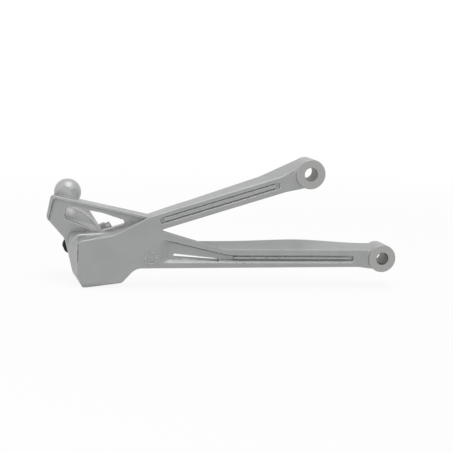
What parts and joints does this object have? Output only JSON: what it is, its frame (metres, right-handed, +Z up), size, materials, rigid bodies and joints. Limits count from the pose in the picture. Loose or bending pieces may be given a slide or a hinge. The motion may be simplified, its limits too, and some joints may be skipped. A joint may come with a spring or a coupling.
{
  "type": "footrest bracket",
  "caption": "Cast V-shaped pillion footrest bracket with grooved arms ending in bolt eyes, a windowed plate, a ball knob and a tilted clevis with the pivot bolt for a folding peg.",
  "frame": {"origin": "on the axis of the lower eye, in the plane of the arms' flat front face", "axes": "+X along the lower arm from the pad towards its eye, +Y back from the front face along the eye bores, +Z up"},
  "size_m": [0.2362, 0.0511, 0.088],
  "materials": {
    "cast_aluminium": "satin silver paint over fine cast skin",
    "black_steel": "black oxide",
    "zinc_steel": "dull zinc plate",
    "nylon": "natural nylon"
  },
  "bodies": {
    "root": {"bracket_casting": "cast_aluminium", "pivot_bolt": "black_steel", "lock_nut": "zinc_steel", "nut_insert": "nylon"}
  },
  "joints": []
}
